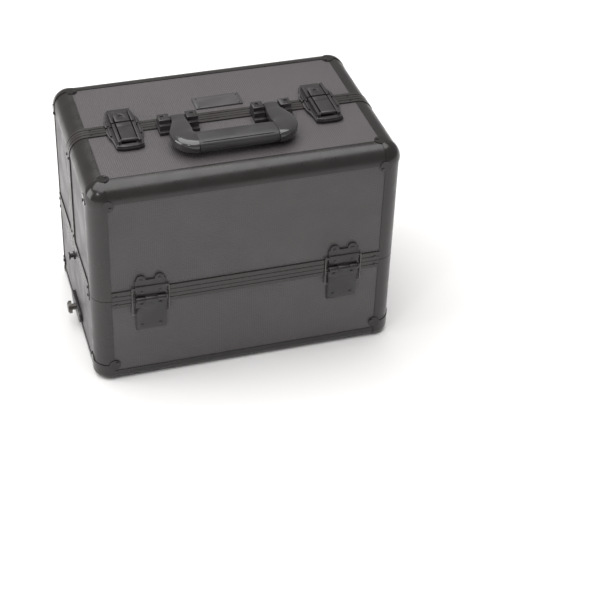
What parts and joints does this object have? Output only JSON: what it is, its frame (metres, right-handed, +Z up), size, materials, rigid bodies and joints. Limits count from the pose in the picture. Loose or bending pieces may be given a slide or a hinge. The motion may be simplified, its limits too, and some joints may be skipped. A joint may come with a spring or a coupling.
{
  "type": "makeup train case",
  "caption": "Hard makeup train case: two lid halves hinge outward over a deep base and spread three cantilever trays each.",
  "frame": {"origin": "centre of the overall bounding box, on the floor under the corner caps", "axes": "+Z up, +X along the case's width to the right seen from the front, front face with two hinges toward -Y"},
  "size_m": [0.392, 0.2556, 0.292],
  "materials": {
    "panel": "diamond-embossed laminate, charcoal",
    "edge_trim": "black anodised extrusion, satin",
    "rim": "black anodised extrusion, satin",
    "cap": "black moulded, satin",
    "lining": "black ribbed sheet",
    "plate": "bright zinc plate",
    "hardware": "black satin",
    "stud": "dark nickel",
    "rivet": "black oxide heads",
    "wire": "black wire",
    "webbing": "woven black webbing",
    "band": "tan rubber band",
    "badge": "blank plate, dark satin",
    "grip": "black, ribbed lengthways",
    "handle_end": "black gloss",
    "tray": "black pebbled moulding",
    "arm": "bright steel"
  },
  "bodies": {
    "case_base": {"base_shell": "panel", "base_trim": "edge_trim", "base_rim": "rim", "base_corner_caps": "cap", "base_liner": "lining", "base_dividers": "lining", "end_plates": "plate", "strap_anchor_plates": "hardware", "strap_knobs": "stud", "rim_studs": "hardware", "hinge_lower_leaves": "hardware", "hinge_pins": "stud", "base_rivets": "rivet", "strap_web": "webbing", "strap_rings": "wire", "strap_band": "band"},
    "front_lid": {"front_lid_shell": "panel", "front_lid_trim": "edge_trim", "front_lid_rim": "rim", "front_corner_caps": "cap", "front_hinge_leaves": "hardware", "front_lid_rivets": "rivet", "front_link_studs": "stud", "handle_brackets": "hardware", "latch_plates": "hardware"},
    "back_lid": {"back_lid_shell": "panel", "back_lid_trim": "edge_trim", "back_lid_rim": "rim", "back_corner_caps": "cap", "back_hinge_leaves": "hardware", "back_lid_rivets": "rivet", "back_link_studs": "stud", "latch_keepers": "hardware", "badge_plate": "badge"},
    "front_stays": {"front_stay_wires": "wire"},
    "back_stays": {"back_stay_wires": "wire"},
    "handle": {"handle_grip": "grip", "handle_ends": "handle_end"},
    "left_lever": {"left_latch_lever": "hardware"},
    "right_lever": {"right_latch_lever": "hardware"},
    "left_latch_wire": {"left_latch_bail": "wire"},
    "right_latch_wire": {"right_latch_bail": "wire"},
    "front_short_arms": {"front_short_arms": "arm"},
    "front_long_arms": {"front_long_arms": "arm"},
    "front_mid_arms": {"front_mid_arms": "arm"},
    "front_top_arms_a": {"front_top_arms_a": "arm"},
    "front_top_arms_b": {"front_top_arms_b": "arm"},
    "front_drive_links": {"front_drive_links": "arm"},
    "front_low_tray": {"front_low_tray": "tray"},
    "front_mid_tray": {"front_mid_tray": "tray"},
    "front_top_tray": {"front_top_tray": "tray"},
    "back_short_arms": {"back_short_arms": "arm"},
    "back_long_arms": {"back_long_arms": "arm"},
    "back_mid_arms": {"back_mid_arms": "arm"},
    "back_top_arms_a": {"back_top_arms_a": "arm"},
    "back_top_arms_b": {"back_top_arms_b": "arm"},
    "back_drive_links": {"back_drive_links": "arm"},
    "back_low_tray": {"back_low_tray": "tray"},
    "back_mid_tray": {"back_mid_tray": "tray"},
    "back_top_tray": {"back_top_tray": "tray"}
  },
  "joints": [
    {"name": "front_lid_hinge", "type": "hinge", "parent": "case_base", "child": "front_lid", "pos_m": [0, -0.1243, 0.118], "axis": [1, 0, 0], "range_deg": [0, 90]},
    {"name": "front_short_arm_pivot", "type": "hinge", "parent": "case_base", "child": "front_short_arms", "pos_m": [0, -0.0563, 0.11732], "axis": [1, 0, 0], "range_deg": [0, 58.52]},
    {"name": "front_long_arm_pivot", "type": "hinge", "parent": "case_base", "child": "front_long_arms", "pos_m": [0, -0.0863, 0.11732], "axis": [1, 0, 0], "range_deg": [0, 58.52]},
    {"name": "front_low_tray_pivot", "type": "hinge", "parent": "front_long_arms", "child": "front_low_tray", "pos_m": [0, -0.0576, 0.1602], "axis": [1, 0, 0], "range_deg": [-58.52, 0]},
    {"name": "front_mid_arm_pivot", "type": "hinge", "parent": "front_low_tray", "child": "front_mid_arms", "pos_m": [0, -0.0736, 0.1602], "axis": [1, 0, 0], "range_deg": [0, 58.52]},
    {"name": "front_mid_tray_pivot", "type": "hinge", "parent": "front_long_arms", "child": "front_mid_tray", "pos_m": [0, -0.02522, 0.20856], "axis": [1, 0, 0], "range_deg": [-58.52, 0]},
    {"name": "front_top_arm_a_pivot", "type": "hinge", "parent": "front_mid_tray", "child": "front_top_arms_a", "pos_m": [0, -0.0578, 0.1991], "axis": [1, 0, 0], "range_deg": [0, 58.52]},
    {"name": "front_top_arm_b_pivot", "type": "hinge", "parent": "front_mid_tray", "child": "front_top_arms_b", "pos_m": [0, -0.0878, 0.1991], "axis": [1, 0, 0], "range_deg": [0, 58.52]},
    {"name": "front_top_tray_pivot", "type": "hinge", "parent": "front_top_arms_a", "child": "front_top_tray", "pos_m": [0, -0.02542, 0.24746], "axis": [1, 0, 0], "range_deg": [-58.52, 0]},
    {"name": "front_drive_link_pivot", "type": "hinge", "parent": "front_lid", "child": "front_drive_links", "pos_m": [0, -0.1044, 0.1426], "axis": [1, 0, 0], "range_deg": [-78.28, 0]},
    {"name": "front_stay_pivot", "type": "hinge", "parent": "front_lid", "child": "front_stays", "pos_m": [0, -0.1217, 0.132], "axis": [1, 0, 0], "range_deg": [-62.12, 0]},
    {"name": "back_lid_hinge", "type": "hinge", "parent": "case_base", "child": "back_lid", "pos_m": [0, 0.1243, 0.118], "axis": [-1, 0, 0], "range_deg": [0, 90]},
    {"name": "back_short_arm_pivot", "type": "hinge", "parent": "case_base", "child": "back_short_arms", "pos_m": [0, 0.0563, 0.11732], "axis": [-1, 0, 0], "range_deg": [0, 58.52]},
    {"name": "back_long_arm_pivot", "type": "hinge", "parent": "case_base", "child": "back_long_arms", "pos_m": [0, 0.0863, 0.11732], "axis": [-1, 0, 0], "range_deg": [0, 58.52]},
    {"name": "back_low_tray_pivot", "type": "hinge", "parent": "back_long_arms", "child": "back_low_tray", "pos_m": [0, 0.0576, 0.1602], "axis": [-1, 0, 0], "range_deg": [-58.52, 0]},
    {"name": "back_mid_arm_pivot", "type": "hinge", "parent": "back_low_tray", "child": "back_mid_arms", "pos_m": [0, 0.0736, 0.1602], "axis": [-1, 0, 0], "range_deg": [0, 58.52]},
    {"name": "back_mid_tray_pivot", "type": "hinge", "parent": "back_long_arms", "child": "back_mid_tray", "pos_m": [0, 0.02522, 0.20856], "axis": [-1, 0, 0], "range_deg": [-58.52, 0]},
    {"name": "back_top_arm_a_pivot", "type": "hinge", "parent": "back_mid_tray", "child": "back_top_arms_a", "pos_m": [0, 0.0578, 0.1991], "axis": [-1, 0, 0], "range_deg": [0, 58.52]},
    {"name": "back_top_arm_b_pivot", "type": "hinge", "parent": "back_mid_tray", "child": "back_top_arms_b", "pos_m": [0, 0.0878, 0.1991], "axis": [-1, 0, 0], "range_deg": [0, 58.52]},
    {"name": "back_top_tray_pivot", "type": "hinge", "parent": "back_top_arms_a", "child": "back_top_tray", "pos_m": [0, 0.02542, 0.24746], "axis": [-1, 0, 0], "range_deg": [-58.52, 0]},
    {"name": "back_drive_link_pivot", "type": "hinge", "parent": "back_lid", "child": "back_drive_links", "pos_m": [0, 0.1044, 0.1426], "axis": [-1, 0, 0], "range_deg": [-78.28, 0]},
    {"name": "back_stay_pivot", "type": "hinge", "parent": "back_lid", "child": "back_stays", "pos_m": [0, 0.1217, 0.132], "axis": [-1, 0, 0], "range_deg": [-62.12, 0]},
    {"name": "handle_fold", "type": "hinge", "parent": "front_lid", "child": "handle", "pos_m": [0, -0.011, 0.282], "axis": [-1, 0, 0], "range_deg": [0, 95]},
    {"name": "left_lever_pivot", "type": "hinge", "parent": "front_lid", "child": "left_lever", "pos_m": [-0.118, -0.036, 0.2792], "axis": [1, 0, 0], "range_deg": [0, 100]},
    {"name": "left_latch_wire_pivot", "type": "hinge", "parent": "left_lever", "child": "left_latch_wire", "pos_m": [-0.118, -0.018, 0.2775], "axis": [1, 0, 0], "range_deg": [-85.1, 0]},
    {"name": "right_lever_pivot", "type": "hinge", "parent": "front_lid", "child": "right_lever", "pos_m": [0.118, -0.036, 0.2792], "axis": [1, 0, 0], "range_deg": [0, 100]},
    {"name": "right_latch_wire_pivot", "type": "hinge", "parent": "right_lever", "child": "right_latch_wire", "pos_m": [0.118, -0.018, 0.2775], "axis": [1, 0, 0], "range_deg": [-85.1, 0]}
  ],
  "couplings": [
    {"joint": "front_short_arm_pivot", "follows": "front_lid_hinge", "ratio": 0.64889},
    {"joint": "front_long_arm_pivot", "follows": "front_lid_hinge", "ratio": 0.64889},
    {"joint": "front_low_tray_pivot", "follows": "front_lid_hinge", "ratio": -0.64889},
    {"joint": "front_mid_arm_pivot", "follows": "front_lid_hinge", "ratio": 0.64889},
    {"joint": "front_mid_tray_pivot", "follows": "front_lid_hinge", "ratio": -0.64889},
    {"joint": "front_top_arm_a_pivot", "follows": "front_lid_hinge", "ratio": 0.64889},
    {"joint": "front_top_arm_b_pivot", "follows": "front_lid_hinge", "ratio": 0.64889},
    {"joint": "front_top_tray_pivot", "follows": "front_lid_hinge", "ratio": -0.64889},
    {"joint": "front_drive_link_pivot", "follows": "front_lid_hinge", "ratio": -0.868},
    {"joint": "front_stay_pivot", "follows": "front_lid_hinge", "ratio": -0.68889},
    {"joint": "back_short_arm_pivot", "follows": "back_lid_hinge", "ratio": 0.64889},
    {"joint": "back_long_arm_pivot", "follows": "back_lid_hinge", "ratio": 0.64889},
    {"joint": "back_low_tray_pivot", "follows": "back_lid_hinge", "ratio": -0.64889},
    {"joint": "back_mid_arm_pivot", "follows": "back_lid_hinge", "ratio": 0.64889},
    {"joint": "back_mid_tray_pivot", "follows": "back_lid_hinge", "ratio": -0.64889},
    {"joint": "back_top_arm_a_pivot", "follows": "back_lid_hinge", "ratio": 0.64889},
    {"joint": "back_top_arm_b_pivot", "follows": "back_lid_hinge", "ratio": 0.64889},
    {"joint": "back_top_tray_pivot", "follows": "back_lid_hinge", "ratio": -0.64889},
    {"joint": "back_drive_link_pivot", "follows": "back_lid_hinge", "ratio": -0.868},
    {"joint": "back_stay_pivot", "follows": "back_lid_hinge", "ratio": -0.68889},
    {"joint": "left_latch_wire_pivot", "follows": "left_lever_pivot", "ratio": -0.85},
    {"joint": "right_latch_wire_pivot", "follows": "right_lever_pivot", "ratio": -0.85}
  ]
}
